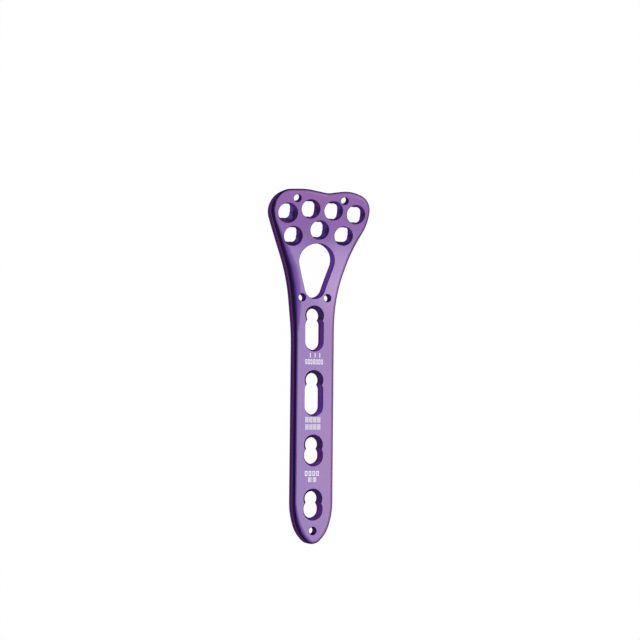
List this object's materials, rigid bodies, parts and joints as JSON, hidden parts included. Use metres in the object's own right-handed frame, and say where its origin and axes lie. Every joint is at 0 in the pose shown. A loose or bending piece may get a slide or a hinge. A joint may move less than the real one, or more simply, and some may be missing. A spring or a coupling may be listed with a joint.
{
  "type": "orthopedic bone plate",
  "caption": "Long locking plate for the wrist end of the forearm: flat shaft with combination holes, windowed neck and a broad bent head full of angled screw holes.",
  "frame": {"origin": "on the plane of the shaft's flat underside, under the middle of the bounding box", "axes": "+Z out of the top face of the shaft, towards the screw heads; +Y along the shaft from its tip towards the head; +X towards the ulnar side, away from the lower corner hole"},
  "size_m": [0.0223, 0.0776, 0.0074],
  "materials": {
    "bone_plate": null
  },
  "bodies": {
    "root": {"bone_plate": "bone_plate"}
  },
  "joints": []
}
